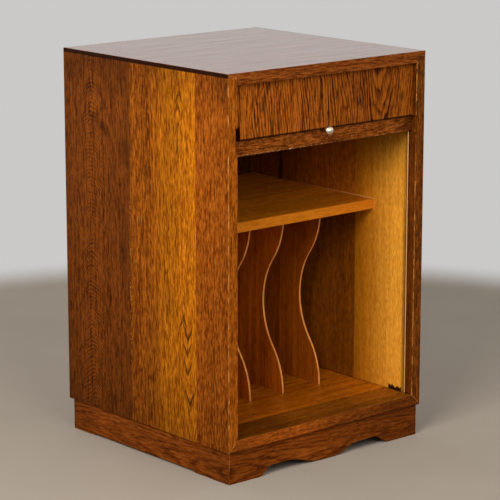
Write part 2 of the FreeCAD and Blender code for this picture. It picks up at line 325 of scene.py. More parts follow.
# A plain board: where its heart is, how its rings run, and the strength of what is drawn on it
plain_figures = {
    "heart_across": 0.0, "heart_through": 300.0, "heart_width": 400.0, "lean": 0.0, "slope": 0.02,
    "middle": 0.0, "arch": 0.0, "ring": 4.0, "wander": 6.0, "rings": 0.2, "streak": 0.35, "dash": 1.0,
    "fleck": 0.6, "fibre": 0.4, "hair": 0.4, "mottle": 0.15, "pores": 0.3, "patchy": 0.6,
}

# How far a seed shifts a board's noises, in millimetres
seed_step = Vector((71.3, 37.7, 113.1))
# Sizes of the grain's figures, in cycles for each millimetre across, through and along the grain
slow_cycles = (0.009, 0.009, 0.0025)
quick_cycles = (0.05, 0.05, 0.012)
streak_cycles = (0.11, 0.11, 0.0036)
patch_cycles = (0.02, 0.02, 0.006)
hair_cycles = (0.13, 0.13, 0.005)
dash_cycles = (0.4, 0.4, 0.05)
fleck_cycles = (0.34, 0.34, 0.11)
fibre_cycles = (0.55, 0.55, 0.03)
pore_cycles = (1.3, 1.3, 0.09)
mottle_cycles = (0.10, 0.10, 0.07)
# How dark a ring is from its early wood to its late wood
early_wood = ((0.0, 1.0), (0.14, 0.9), (0.55, 0.0), (0.9, 0.0), (1.0, 1.0))
# Where noises pass from nothing to full: faint patches, hairs by strand and by dash, pores, and end grain
faint_fade = (0.6, 0.36)
strand_fade = (0.045, 0.012)
hair_fade = (0.62, 0.44)
pore_fade = (0.56, 0.72)
end_fade = (0.7, 0.9)
# How the figures are mixed, and how dark end grain is
quick_share = 0.25
year_spread = 0.8
year_least = 0.2
heart_core = 0.4
ring_balance = 0.3
middle_tone = 0.5
pore_spread = 0.6
pore_least = 0.4
fibre_relief = 0.3
end_grain = 0.7


def layered(t, board, layers):
    """The tones and figures of boards on one surface: each (share, board) covers what comes before it."""
    tones = list(board.tones)
    figures = dict(board.figures)
    for share, cover in layers:
        tones = [t.blend(share, under, over) for under, over in zip(tones, cover.tones)]
        for name, over in cover.figures.items():
            if figures[name] != over:
                figures[name] = t.between(share, figures[name], over)
    return tones, figures


def oak(t, board, layers=()):
    """Oak's colour and relief: rings round the heart, streaks, dashes, flecks, pores and end grain."""
    (dark, mid, pale), figures = layered(t, board, layers)
    seed = figures["seed"]
    shifted = t.vector("MULTIPLY_ADD", t.join(seed, seed, seed), seed_step, t.place)
    heart = t.math("MULTIPLY_ADD", t.along, figures["lean"], figures["heart_across"])
    du = t.minus(t.across, heart)
    dv = t.minus(t.through, figures["heart_through"])
    square = t.total(t.times(du, du), t.times(dv, dv))
    rise = t.minus(t.along, figures["middle"])
    slow = t.noise(shifted, slow_cycles)
    drift = t.total(slow, t.times(t.noise(shifted, quick_cycles), quick_share))
    radius = t.total(
        t.math("SQRT", square),
        t.times(t.along, figures["slope"]),
        t.times(t.times(rise, rise), figures["arch"]),
        t.swing(drift, figures["wander"]))
    turn = t.math("DIVIDE", radius, figures["ring"])
    year = t.add("TexWhiteNoise", noise_dimensions="1D")
    t.feed(year.inputs["W"], t.math("FLOOR", turn))
    early = t.ramp(t.math("FRACT", turn), early_wood)
    weight = t.math("MULTIPLY_ADD", year.outputs["Value"], year_spread, year_least)
    heart_width = figures["heart_width"]
    aside = t.math("ABSOLUTE", du)
    near_heart = t.fade(aside, heart_width, t.times(heart_width, heart_core))
    faint = t.times(t.fade(t.noise(shifted, patch_cycles), *faint_fade), figures["patchy"])
    shown = t.minus(1.0, faint)
    lines = t.times(early, weight)
    line = t.times(lines, t.times(near_heart, shown))
    fibre = t.noise(shifted, fibre_cycles)
    dash = t.noise(shifted, dash_cycles)
    strand = t.math("ABSOLUTE", t.minus(t.noise(shifted, hair_cycles), noise_mean))
    hairs = t.times(t.fade(strand, *strand_fade), t.fade(dash, *hair_fade))
    tone = t.total(
        t.math("MULTIPLY_ADD", t.minus(ring_balance, line), figures["rings"], middle_tone),
        t.swing(t.noise(shifted, streak_cycles, rich), figures["streak"]),
        t.swing(dash, figures["dash"]),
        t.times(t.times(hairs, -1.0), figures["hair"]),
        t.swing(t.noise(shifted, fleck_cycles, smooth), figures["fleck"]),
        t.swing(fibre, figures["fibre"]),
        t.swing(t.noise(shifted, mottle_cycles, rich), figures["mottle"]))
    colour = t.blend(t.math("MULTIPLY", tone, 2.0, clamp=True), dark, mid)
    colour = t.blend(t.math("MULTIPLY_ADD", tone, 2.0, -1.0, clamp=True), colour, pale)
    pores = t.fade(t.noise(shifted, pore_cycles, smooth), *pore_fade)
    pore_share = t.times(pores, t.math("MULTIPLY_ADD", early, pore_spread, pore_least))
    colour = t.darken(colour, pore_share, figures["pores"])
    colour = t.darken(colour, t.fade(t.end_facing, *end_fade), end_grain)
    relief = t.minus(t.times(fibre, fibre_relief), pore_share)
    return colour, relief


# A glued joint's half width in millimetres, and how dark it is
joint_half = 0.6
joint_shade = 0.3


def joint(t, colour, seam):
    """A thin dark joint at a seam's depth from the front."""
    line = t.band(t.depth, seam - joint_half, seam + joint_half, joint_half)
    return t.darken(colour, line, joint_shade)


# The sides' boards, each with its tones from pale to dark
rear_board = Board(
    (141, 72, 16), (108, 52, 7), (68, 27, 1), seed=1, heart_across=168, heart_through=110,
    heart_width=110, lean=-0.03, slope=0.2, ring=1.6, wander=7, rings=0.9, dash=0.8, fleck=0.5,
    patchy=0.4)
straight_board = Board((172, 95, 20), (134, 68, 7), (90, 39, 1), seed=2, streak=0.6, dash=1)
golden_board = Board(
    (210, 124, 18), (168, 93, 8), (120, 58, 1), seed=3, heart_across=-143, heart_through=26,
    heart_width=34, lean=0.055, slope=0, middle=470, arch=0.00015, ring=4.2, wander=9, rings=0.4,
    streak=0.4, dash=0.9, fleck=0.55)
front_board = Board(
    (178, 96, 22), (143, 71, 10), (100, 42, 1), seed=4, streak=0.25, dash=0.9, fleck=0.8, mottle=0.2)
wall_gold = Board(
    (224, 156, 54), (203, 135, 40), (176, 109, 20), seed=5, ring=7, streak=0.3, dash=0.4, fleck=0.5,
    hair=0.1)
wall_dark = Board(
    (146, 79, 14), (118, 62, 8), (88, 43, 3), seed=6, ring=6, dash=0.5, fleck=0.3, hair=0.15, mottle=0.5)
left_stile = Board((172, 93, 19), (140, 71, 9), (102, 45, 1), seed=7, dash=0.8, fleck=0.8, mottle=0.3)
right_stile = Board((134, 70, 15), (98, 49, 7), (68, 31, 2), seed=7.5, dash=1.1, fleck=0.8, mottle=0.3)
wall_lip = Board((112, 56, 14), (86, 40, 7), (60, 26, 2), seed=8.5, dash=0.7)

# Seams by depth from the front, in millimetres, outside and inside, and how far the golden board fades back
side_seams = (91, 233, 285)
golden_fade = 62
lip_depth = 24
wall_seam = 165
# The inner wall's tint towards its seam, and the colours of worn, bare and chipped places
wall_warmth = (0.97, 0.8, 0.4)
worn_oak = srgb(232, 164, 84)
raw_oak = srgb(250, 192, 122)
dust = srgb(226, 196, 150)
chip_dark = srgb(44, 18, 4)

# Levels across a side, from the front edge to the back edge, by depth in millimetres
side_tones = (
    (0, 0.72), (12, 0.92), (30, 0.88), (85, 1.04), (92, 0.98), (125, 0.99), (145, 0.9), (165, 0.77),
    (182, 0.78), (218, 1.08), (237, 0.96), (262, 1.12), (284, 0.84), (290, 0.68), (320, 0.78),
    (390, 0.94), (455, 0.82), (487, 0.66),
)
# Levels up a side: painted shade, darker towards the foot and towards the top
side_height_painted_shade = (
    (62, 0.66), (110, 0.78), (140, 0.86), (200, 0.92), (340, 1.01), (520, 1.04), (680, 1.02), (715, 0.84),
    (760, 0.7),
)
# Levels over the depth of the inner wall, from the guide to the back, under the shelf and over it: painted
# light and shade, brightest near the front and falling off deeper in, a painted shadow line beside the guide,
# and painted light on the rear board over the shelf
lower_wall_painted_light = (
    (0, 1.25), (23, 1.25), (24.5, 0.45), (28, 0.62), (33, 1.28), (60, 1.28), (100, 1.02), (130, 0.84),
    (150, 0.72), (164, 0.6), (166, 1.06), (195, 1), (243, 1.24), (320, 1.55), (487, 1.55),
)
upper_wall_painted_light = (
    (0, 1.25), (23, 1.25), (24.5, 0.6), (28, 0.75), (33, 1.05), (60, 1.1), (100, 1.04), (130, 1),
    (150, 0.94), (164, 0.86), (166, 2.4), (210, 2.55), (280, 2.6), (328, 2), (352, 1.6), (487, 1.6),
)
# Levels over the height of the golden wall: painted light over the middle of the upper part and painted
# shadow under the rail at its top
wall_height_painted_light = (
    (84, 1), (150, 1.06), (260, 1), (400, 1), (470, 1.12), (515, 1.1), (545, 0.95), (580, 0.75),
    (610, 0.72),
)
# Blotches on a side, as spotted takes them, in millimetres
side_spots = (
    (155, 660, 18, 22, -0.35), (140, 634, 13, 15, 0.35), (124, 623, 13, 15, 0.4),
    (109, 612, 14, 15, 0.35), (58, 584, 26, 36, 0.35), (62, 410, 24, 120, 0.25), (-13, 620, 7, 170, 0.2),
    (-52, 655, 18, 80, -0.25), (66, 664, 30, 34, -0.25), (-113, 350, 16, 150, -0.22),
    (-18, 220, 34, 300, 0.1), (-222, 352, 6, 8, 0.4), (-76, 315, 26, 40, 0.25), (-60, 215, 22, 110, -0.2),
    (-144, 430, 13, 380, -0.1), (-84, 280, 22, 190, -0.14), (-34, 200, 16, 110, 0.15),
    (-193, 190, 22, 130, 0.12), (212, 722, 34, 28, 0.2), (-228, 732, 28, 44, 0.3),
)
# Pointed loops in the golden board as (across, foot, half width, rise, strength); a rise below 0 points up
side_chevrons = (
    (-128, 254, 17, 40, 0.75), (-126, 226, 13, 26, 0.65), (-127, 191, 14, 34, 0.75),
    (-132, 132, 15, 36, 0.8), (-131, 116, 40, 110, 0.45), (-115, 294, 14, -30, 0.65),
    (-114, 328, 12, -34, 0.35), (-112, 356, 11, -34, 0.3), (-106, 712, 13, -30, 0.55),
    (-102, 688, 14, -32, 0.55), (-103, 655, 12, -34, 0.35), (-103, 612, 12, -32, 0.35),
)
# The shape of a loop, in millimetres, and how much of it is full and unfaded
tip_round = 2.0
loop_width = 11
loop_taper = 7.0
loop_core = 0.2
loop_ends = 0.6
loop_cycles = (0.05, 0.0, 0.05)
loop_ragged = 7.0


def chevron(t, across, foot, half, rise):
    """1 on a pointed loop that widens from its foot to half its width at each side, thick at its tip."""
    aside = t.math("ABSOLUTE", t.minus(t.across, across))
    rounded = t.math("SQRT", t.math("MULTIPLY_ADD", aside, aside, tip_round * tip_round))
    ragged = t.swing(t.noise(t.place, loop_cycles), loop_ragged)
    height = t.minus(t.total(t.z, ragged), foot - tip_round * rise / half)
    off = t.math("ABSOLUTE", t.minus(height, t.times(rounded, rise / half)))
    thick = t.math("MULTIPLY_ADD", aside, -loop_taper / half, loop_width)
    share = t.fade(off, thick, t.times(thick, loop_core))
    return t.times(share, t.fade(aside, half, half * loop_ends))


# The inner wall: where the lower tones end under the shelf's top, and the depths of the warm stretch
shelf_blend = (-12, 0.0)
warm_depths = (65, 150)
# The pale seat just over the shelf, by height and by depth
seat_heights = (0.4, 2.4)
seat_soft = 0.4
seat_depths = (110, 118)
seat_share = 0.5
# The painted shade line along the wall's foot over the floor, and the ragged chip beside the guide
foot_shade_line = (2.6, 0.6, 0.6)
chip_cycles = (0.16, 0.0, 0.1)
chip_ragged = 11
chip_heights = (9.0, 6.5)
chip_depths = (29, 66)
chip_soft = 3.0


def wall_light_and_wear(t, colour):
    """The inner wall's painted light and shade by depth and height, its joint, the painted shade line at its
    foot and the chip beside the guide.
    """
    upper = t.near(t.z, shelf_top, shelf_blend)
    # Painted light and shade over the wall's depth, below the shelf and above it
    below = t.toned(colour, t.depth, lower_wall_painted_light)
    above = t.toned(colour, t.depth, upper_wall_painted_light)
    # Painted light, and painted shadow under the rail at the wall's top
    colour = t.toned(t.blend(upper, below, above), t.z, wall_height_painted_light)
    colour = joint(t, colour, wall_seam)
    warm = t.fade(t.depth, *warm_depths)
    rear_gold = t.times(warm, t.near(t.depth, wall_seam, (joint_half, -joint_half)))
    colour = t.blend(rear_gold, colour, t.vector("MULTIPLY", colour, wall_warmth))
    strip = t.band(t.z, shelf_top + seat_heights[0], shelf_top + seat_heights[1], seat_soft)
    seat = t.times(strip, t.fade(t.depth, *seat_depths))
    colour = t.blend(t.times(seat, seat_share), colour, raw_oak)
    # Painted shade where the wall meets the floor
    colour = t.lined(colour, t.z, floor_top, foot_shade_line)
    ragged = t.total(t.z, t.swing(t.noise(t.place, chip_cycles, rich), chip_ragged))
    low = t.near(ragged, floor_top, chip_heights)
    chip = t.times(low, t.band(t.depth, *chip_depths, chip_soft))
    return t.blend(chip, colour, chip_dark)


# Varnish worn off along the rearmost seam
worn_heights = (190, 480)
worn_height_soft = 60
worn_cycles = (0.3, 0.3, 0.2)
worn_limits = (0.55, 0.64)
worn_depths = (side_seams[2] - 2.0, side_seams[2] + 2.5)
worn_soft = 1.5
worn_share = 0.5


def side_shade_and_wear(t, colour):
    """The outer face's tones with painted shade up its height, joints, blotches, loops and worn seam."""
    # Tones across the side, and painted shade up its height
    colour = t.toned(t.toned(colour, t.depth, side_tones), t.z, side_height_painted_shade)
    for seam in side_seams:
        colour = joint(t, colour, seam)
    colour = t.spotted(colour, side_spots)
    for across, foot, half, rise, strength in side_chevrons:
        colour = t.darken(colour, chevron(t, across, foot, half, rise), strength)
    stretch = t.band(t.z, *worn_heights, worn_height_soft)
    flecked = t.times(stretch, t.patches(worn_cycles, worn_limits))
    worn_seam = t.times(flecked, t.band(t.depth, *worn_depths, worn_soft))
    return t.blend(t.times(worn_seam, worn_share), colour, worn_oak)


# How far a face turns before it counts as the outer face, the inner face or the groove's rear wall
outer_turn = (0.4, 0.7)
inner_turn = (-0.4, -0.7)
groove_turn = (-0.6, -0.8)
# Depths behind a side's front edge, and the groove's bare strip by its distance from the outer face
edge_depths = (4.0, 8.0)
notch_depths = (10.5, 9.5)
notch_soft = 1.0
notch_margin = 2.0
groove_depths = (15, 30)
groove_soft = 2.0
groove_bare = (18.7, 20.1)
# Worn front arrises, with a radius in metres
arris_depths = (6.0, 3.0)
arris_cycles = (0.05, 0.05, 0.06)
arris_limits = (0.42, 0.58)
arris_spread = 0.8
arris_least = 0.15
arris_radius = 0.0024
side_rough = 0.46
side_rough_spread = 0.2


def side_material(name, outward, stile_board, notch):
    """A carcass side, outward by its sign: four boards outside, three inside, worn arrises and a notch."""
    t = Surface(name, "yxz")
    t.through = t.minus(-side_low.x / mm, t.times(t.x, outward))
    facing = t.times(t.facing_x, outward)
    outside = t.fade(facing, *outer_turn)
    inside = t.fade(facing, *inner_turn)
    deep = t.fade(t.depth, *edge_depths)

    def beyond(face, seam, soft=joint_half):
        """1 on a face behind a seam."""
        return t.times(face, t.near(t.depth, seam, (-soft, joint_half)))

    layers = [
        (deep, wall_lip),
        (outside, front_board),
        (beyond(outside, side_seams[0]), golden_board),
        (beyond(outside, side_seams[1], golden_fade), straight_board),
        (beyond(outside, side_seams[2]), rear_board),
        (inside, wall_lip),
        (beyond(inside, lip_depth), wall_gold),
        (beyond(inside, wall_seam), wall_dark),
    ]
    in_notch = t.band(t.z, *notch, notch_soft)
    layers.append((t.times(in_notch, t.fade(t.depth, *notch_depths)), stile_board))
    colour, relief = oak(t, stile_board, layers)
    colour = t.blend(outside, colour, side_shade_and_wear(t, colour))
    colour = t.blend(inside, colour, wall_light_and_wear(t, colour))
    rear_wall = t.fade(t.facing_y, *groove_turn)
    in_groove = t.times(rear_wall, t.band(t.depth, *groove_depths, groove_soft))
    bare = t.times(in_groove, t.fade(t.through, *groove_bare))
    colour = t.blend(bare, colour, raw_oak)
    at_front = t.fade(t.depth, *arris_depths)
    patchy = t.math("MULTIPLY_ADD", t.patches(arris_cycles, arris_limits), arris_spread, arris_least)
    by_notch = t.band(t.z, notch[0] - notch_margin, notch[1] + notch_margin, notch_soft)
    clear = t.minus(1.0, by_notch)
    arrises = t.times(t.edges(arris_radius), at_front)
    wear = t.times(arrises, t.times(patchy, clear))
    colour = t.blend(wear, colour, worn_oak)
    return t.finish(colour, relief, t.uneven(side_rough, side_rough_spread))


# Rubbed arrises of the other boards, with a radius in metres, and how uneven their varnish is
rub_radius = 0.0015
rub_cycles = (0.06, 0.06, 0.03)
rub_limits = (0.45, 0.62)
rough_spread = 0.16


def plain_material(name, order, board, roughness=satin, specular=wood_gloss, wear_share=0.5, tones=None,
                   cross_tones=None):
    """One board with worn arrises, and with levels along or across its grain where they are given."""
    t = Surface(name, order)
    colour, relief = oak(t, board)
    if tones:
        colour = t.toned(colour, t.along, tones)
    if cross_tones:
        colour = t.toned(colour, t.across, cross_tones)
    wear = t.times(t.edges(rub_radius), t.patches(rub_cycles, rub_limits))
    colour = t.blend(t.times(wear, wear_share), colour, worn_oak)
    return t.finish(colour, relief, t.uneven(roughness, rough_spread), specular)


def dress(material, *names):
    """Gives CAD nodes their one material."""
    for name in names:
        slots = nodes[name].data.materials
        slots.clear()
        slots.append(material)


# The notches in the sides where the rail's ends go in, by height in millimetres
left_notch = (fascia_foot - 20, fascia_foot + 25)
right_notch = (fascia_foot - 34, fascia_foot)
dress(side_material("left_oak", -1.0, left_stile, left_notch), "left_side")
dress(side_material("right_oak", 1.0, right_stile, right_notch), "right_side")


top_figure = Board(
    (138, 73, 23), (110, 53, 12), (76, 30, 1), seed=8, heart_across=-120, heart_through=690, slope=0.09,
    ring=3.6, wander=9, rings=0.6, streak=0.5, dash=0.95, mottle=0.12)
# A painted shade line along the foot of the top's front edge, and its darker ends
top_thick = 22
top_foot = side_head - top_thick
top_shade_line = (2.0, 0.4, 0.6)
top_shade = 0.6
top_rough = 0.45
top_relief = 0.25
# The streaky polish of the upper face
polish_turn = (0.8, 0.95)
polish_cycles = (0.09, 0.0, 0.006)
polish_spread = 0.5
polish_least = 0.67
polish_rough = 0.16


def top_material():
    """The polished top: a clear coat on its upper face, a bold figure on its edges."""
    t = Surface("top_oak", "yzx")
    colour, relief = oak(t, top_figure)
    colour = t.darken(colour, t.fade(t.end_facing, *end_fade), top_shade)
    # Painted shade along the foot of the top's front edge
    colour = t.lined(colour, t.z, top_foot, top_shade_line)
    polish = t.fade(t.facing_z, *polish_turn)
    streaks = t.noise(t.place, polish_cycles, rich)
    streaky = t.math("MULTIPLY_ADD", streaks, polish_spread, polish_least, clamp=True)
    t.feed(t.shader.inputs["Coat Weight"], t.times(polish, streaky))
    t.shader.inputs["Coat Roughness"].default_value = polish_rough
    return t.finish(colour, relief, top_rough, bump_strength=top_relief)


dress(top_material(), "top_board")


fascia_board = Board(
    (166, 89, 20), (120, 57, 9), (52, 19, 1), seed=9, heart_across=139, heart_through=-200.4,
    heart_width=1000, slope=-0.14, ring=6.2, wander=22, rings=1.1, streak=0.5, dash=0.6, fleck=0.35)
# Knots and flames on the fascia, as spotted takes them, in millimetres
fascia_spots = (
    (-155, 696, 7, 26, 0.5), (-141, 728, 6, 12, 0.45), (-102, 684, 5, 22, 0.3), (-29, 706, 6, 16, 0.4),
    (26, 696, 7, 15, 0.5), (97, 716, 8, 14, 0.5), (195, 676, 6, 16, 0.55),
)
# Levels along the fascia, by x
fascia_tones = ((-224, 1.12), (-100, 1.08), (-10, 0.89), (110, 0.85), (224, 0.86))
# Painted shade lines along the fascia's foot, above the rail, and along its head, under the top
fascia_foot_shade_line = (2.8, 1.0, 0.8)
fascia_head_shade_line = (-3.0, -0.6, 0.5)


def fascia_material():
    """The striped fascia: dark lines between orange bands, a few knots and flames."""
    t = Surface("fascia_oak", "xyz")
    colour, relief = oak(t, fascia_board)
    colour = t.spotted(t.toned(colour, t.x, fascia_tones), fascia_spots)
    # Painted shade along the fascia's foot and head
    colour = t.lined(colour, t.z, fascia_foot, fascia_foot_shade_line)
    colour = t.lined(colour, t.z, fascia_head, fascia_head_shade_line)
    return t.finish(colour, relief)


dress(fascia_material(), "fascia_panel")


rail_board = Board(
    (150, 80, 24), (108, 51, 10), (70, 29, 2), seed=10, ring=5, rings=0.1, streak=0.3, dash=0.8,
    fleck=0.6, mottle=0.4)
# Pale curls in the rail's figure
curl_cycles = (0.24, 0.1, 0.1)
curl_fade = (0.03, 0.008)
curl_patch_cycles = (0.11, 0.11, 0.05)
curl_limits = (0.4, 0.6)
curl_share = 0.6
curl_tone = srgb(184, 108, 36)
# Varnish chipped off along the rail's foot, more of it towards the left
rail_edge = (3.0, 1.0)
rail_chip_cycles = (0.5, 0.3, 0.16)
rail_chip_limits = (0.59, 0.65)
rail_chip_left = (60, -40)
rail_chip_more = 0.6
rail_chip_least = 0.3
# Painted shade on the rail: its darker right end, the line under the fascia, and the end that stands in the
# left notch
rail_shaded_end = (175, 222)
rail_right_shade = 0.5
rail_shade_line = (-2.4, 0.8)
rail_line_soft = 1.0
notch_end = (-207, -209)
notch_rise = (-2.0, 0.0)
gap_shade = 0.9


def rail_material():
    """The lead rail: a curly mottled figure, with the varnish chipped off along its lower edge, and painted
    shade at its ends and under the fascia.
    """
    t = Surface("rail_oak", "zyx")
    colour, relief = oak(t, rail_board)
    curl = t.math("ABSOLUTE", t.minus(t.noise(t.place, curl_cycles), noise_mean))
    curls = t.times(t.fade(curl, *curl_fade), t.patches(curl_patch_cycles, curl_limits))
    colour = t.blend(t.times(curls, curl_share), colour, curl_tone)
    near_edge = t.near(t.z, rail_foot, rail_edge)
    left = t.fade(t.x, *rail_chip_left)
    chips = t.times(near_edge, t.patches(rail_chip_cycles, rail_chip_limits))
    share = t.times(chips, t.math("MULTIPLY_ADD", left, rail_chip_more, rail_chip_least))
    colour = t.blend(share, colour, dust)
    # Painted shade at the rail's right end
    colour = t.darken(colour, t.fade(t.x, *rail_shaded_end), rail_right_shade)
    # Painted shade in the gap under the fascia
    under = t.band(t.z, fascia_foot + rail_shade_line[0], fascia_foot + rail_shade_line[1], rail_line_soft)
    colour = t.darken(colour, under, gap_shade)
    # Painted shade on the end that stands in the left notch
    notch = t.times(t.fade(t.x, *notch_end), t.near(t.z, fascia_foot, notch_rise))
    colour = t.darken(colour, notch, gap_shade)
    return t.finish(colour, relief)


dress(rail_material(), "lead_rail")


# The boards of the sill, floor, shelf, dividers, plinth, back, hidden blocks and slats
sill_board = Board(
    (150, 78, 16), (118, 56, 9), (80, 35, 3), seed=11, ring=5, streak=0.3, dash=0.55, fleck=0.6,
    hair=0.15)
sill_top_board = Board((140, 78, 14), (114, 60, 9), (84, 42, 3), seed=11.5, ring=5, dash=0.95, fleck=0.5)
floor_oak = Board(
    (196, 110, 18), (166, 86, 8), (128, 61, 3), seed=12, ring=8, streak=0.9, dash=0.6, fleck=0.3,
    hair=0.15)
shelf_board = Board(
    (208, 120, 20), (184, 102, 13), (146, 75, 6), seed=13, ring=8, streak=0.9, dash=0.7, fleck=0.4,
    hair=0.2)
lipping_board = Board(
    (217, 131, 32), (200, 114, 20), (174, 94, 9), seed=14, ring=4, streak=0.3, dash=0.4, fleck=0.3,
    hair=0.1, mottle=0.05)
divider_board = Board(
    (172, 91, 16), (148, 75, 10), (116, 54, 4), seed=15, ring=6, streak=0.8, dash=0.5, fleck=0.2,
    hair=0.15)
plinth_board = Board(
    (134, 68, 16), (104, 48, 8), (68, 27, 2), seed=16, heart_across=20, heart_through=-200, slope=0.05,
    ring=4.4, wander=14, rings=0.8, streak=0.5, dash=0.6, fleck=0.3, hair=0.4)
back_board = Board((132, 70, 22), (108, 54, 14), (84, 40, 8), seed=17, ring=9, dash=0.7, fleck=0.3)
pine_board = Board(
    (216, 176, 118), (196, 152, 94), (160, 112, 62), seed=18, ring=5, rings=0.5, dash=0.4, fleck=0.2,
    pores=0.1)
slat_board = Board((160, 84, 20), (130, 64, 11), (96, 42, 2), seed=19, ring=4)

# Levels along the plinth's boards, by x for the front one and by y for the side ones
plinth_front_tones = (
    (-246, 1), (-190, 0.92), (-150, 1.02), (-70, 1.3), (-30, 1.22), (50, 0.98), (130, 0.86), (246, 0.8),
)
plinth_side_tones = (
    (-246, 0.78), (-190, 0.9), (-130, 1.15), (-60, 1.2), (30, 1.05), (130, 1.25), (170, 1.15), (240, 0.8),
)
# Painted light over the shelf's depth, by y, brighter towards the back
shelf_painted_light = ((-130, 0.95), (-64, 1.06), (16, 1.8), (240, 2.2))
# Levels along the floor, by x
floor_tones = ((-224, 0.95), (40, 0.86), (120, 0.82), (190, 1.04), (224, 1.04))
# Levels along the front sill, by x, on its front and on its top
sill_front_tones = (
    (-246, 1), (-195, 1.4), (-75, 1.65), (-35, 1.4), (5, 1.1), (45, 0.9), (125, 0.84), (165, 0.62),
    (246, 0.62),
)
sill_top_tones = (
    (-246, 0.9), (-170, 0.75), (-110, 0.6), (-75, 0.8), (-45, 1.1), (65, 1), (105, 1.1), (145, 1.35),
    (246, 1.5),
)
# The sill's upper face, the darker strip along its front, the dark line at its back, and the painted shade
# line at its foot
sill_turn = (0.5, 0.9)
sill_strip_cycles = (0.05, 0.0, 0.01)
sill_strip_ragged = 8.0
sill_strip_depths = (34, 20)
sill_strip_shade = 0.28
sill_back_line = (-3.0, -0.8, 0.7)
sill_foot_shade_line = (2.4, 0.6, 0.6)
sill_arris = (10, 14)
sill_wear = 0.4
sill_rough = 0.4
sill_gloss = 0.04


def sill_material():
    """The front sill: gold at the left of its front, olive on top, a dark line where the floor begins."""
    t = Surface("sill_oak", "yzx")
    above = t.fade(t.facing_z, *sill_turn)
    colour, relief = oak(t, sill_board, [(above, sill_top_board)])
    face = t.toned(colour, t.x, sill_front_tones)
    colour = t.blend(above, face, t.toned(colour, t.x, sill_top_tones))
    ragged = t.swing(t.noise(t.place, sill_strip_cycles), sill_strip_ragged)
    strip = t.fade(t.total(t.depth, ragged), *sill_strip_depths)
    colour = t.darken(colour, t.times(strip, above), sill_strip_shade)
    colour = t.lined(colour, t.depth, sill_depth, sill_back_line)
    # Painted shade along the sill's foot, above the plinth
    colour = t.lined(colour, t.z, sill_foot, sill_foot_shade_line)
    arris = t.times(t.edges(rub_radius), t.near(t.z, sill_foot, sill_arris))
    wear = t.times(arris, t.patches(rub_cycles, rub_limits))
    colour = t.blend(t.times(wear, sill_wear), colour, worn_oak)
    return t.finish(colour, relief, sill_rough, sill_gloss)


dress(sill_material(), "front_sill")
dress(plain_material("floor_ply", "yzx", floor_oak, roughness=0.28, specular=0.15, tones=floor_tones),
      "floor_board")
# The shelf, with painted light over its depth
dress(plain_material("shelf_ply", "yzx", shelf_board, roughness=0.35, cross_tones=shelf_painted_light), "shelf")
dress(plain_material("lipping_oak", "zyx", lipping_board), "shelf_lipping")


# Levels of the dividers from left to right, by x: their tone, and painted light where they stand in the
# interior's shade
divider_painted_light = ((-140, 1.6), (46, 1.75), (138, 1.25), (200, 1.25))
# The dividers' bare edges
bare_turn = (0.7, 0.4)
bare_cycles = (0.05, 0.05, 0.05)
bare_tones = ((0.3, srgb(212, 130, 54)), (0.7, srgb(238, 164, 86)))


def divider_material():
    """A thin divider: red-brown faces and a bare pale edge."""
    t = Surface("divider_ply", "yxz")
    colour, relief = oak(t, divider_board)
    # Painted light across the dividers, by x
    colour = t.toned(colour, t.x, divider_painted_light)
    edge = t.fade(t.math("ABSOLUTE", t.facing_x), *bare_turn)
    tone = t.ramp(t.noise(t.place, bare_cycles, rich), bare_tones)
    colour = t.blend(edge, colour, tone)
    return t.finish(colour, relief)


dress(divider_material(), *("divider_%d" % k for k in range(1, 5)))
dress(plain_material("plinth_front_oak", "zyx", plinth_board, wear_share=0.25, tones=plinth_front_tones),
      "plinth_front", "plinth_back")
dress(plain_material("plinth_side_oak", "zxy", plinth_board, wear_share=0.25, tones=plinth_side_tones),
      "plinth_left", "plinth_right")


# The back's inner face, darkened with painted shade
indoor_turn = (-0.5, -0.8)
indoor_shade = 0.35
back_rough = 0.48


def back_material():
    """The back panel: darker on its inner face, with painted shade inside the cabinet."""
    t = Surface("back_ply", "xyz")
    colour, relief = oak(t, back_board)
    # Painted shade on the inner face
    colour = t.darken(colour, t.fade(t.facing_y, *indoor_turn), indoor_shade)
    return t.finish(colour, relief, t.uneven(back_rough, rough_spread))


dress(back_material(), "back_panel")
dress(plain_material("pine", "zyx", pine_board, roughness=0.6),
      "fascia_batten", *("plinth_block_%d" % k for k in range(1, 5)))
slat_names = ["slat_%02d" % k for k in range(1, 28)]
slat_end_shade = 0.92


def slat_material():
    """A slat: its left end is darkened with painted shade, where the access notch shows it."""
    t = Surface("shutter_oak", "zyx")
    colour, relief = oak(t, slat_board)
    # Painted shade on the end that the access notch shows
    colour = t.darken(colour, t.fade(t.x, *notch_end), slat_end_shade)
    return t.finish(colour, relief)


dress(slat_material(), *slat_names)


# Dull patches and scratches in metal, and how much each roughens it
dull_cycles = (0.25, 0.25, 0.25)
dull_level = 0.72
dull_stops = (0.2, 0.75)
dull_rough = 0.2
scratch_cycles = (0.4, 0.4, 4.0)
scratch_rough = 0.1
scratch_depth = 0.0001
scratch_relief = 0.2
metal_gloss = 0.5


def metal_material(name, tone, roughness):
    """Worn metal: fine scratches and dull patches in its gloss."""
    t = Surface(name, "xyz")
    dull = t.noise(t.place, dull_cycles, rich)
    scratch = t.noise(t.place, scratch_cycles)
    dull_tone = srgb(*(dull_level * level for level in tone))
    colour = t.ramp(dull, list(zip(dull_stops, (dull_tone, srgb(*tone)))))
    t.shader.inputs["Metallic"].default_value = 1.0
    least = roughness - (dull_rough + scratch_rough) / 2
    rough = t.total(t.times(dull, dull_rough), t.times(scratch, scratch_rough), least)
    return t.finish(colour, scratch, rough, metal_gloss, scratch_depth, scratch_relief)


dress(metal_material("knob_metal", (226, 208, 178), 0.26), "knob")
dress(metal_material("screw_steel", (170, 168, 164), 0.4), "knob_screw")


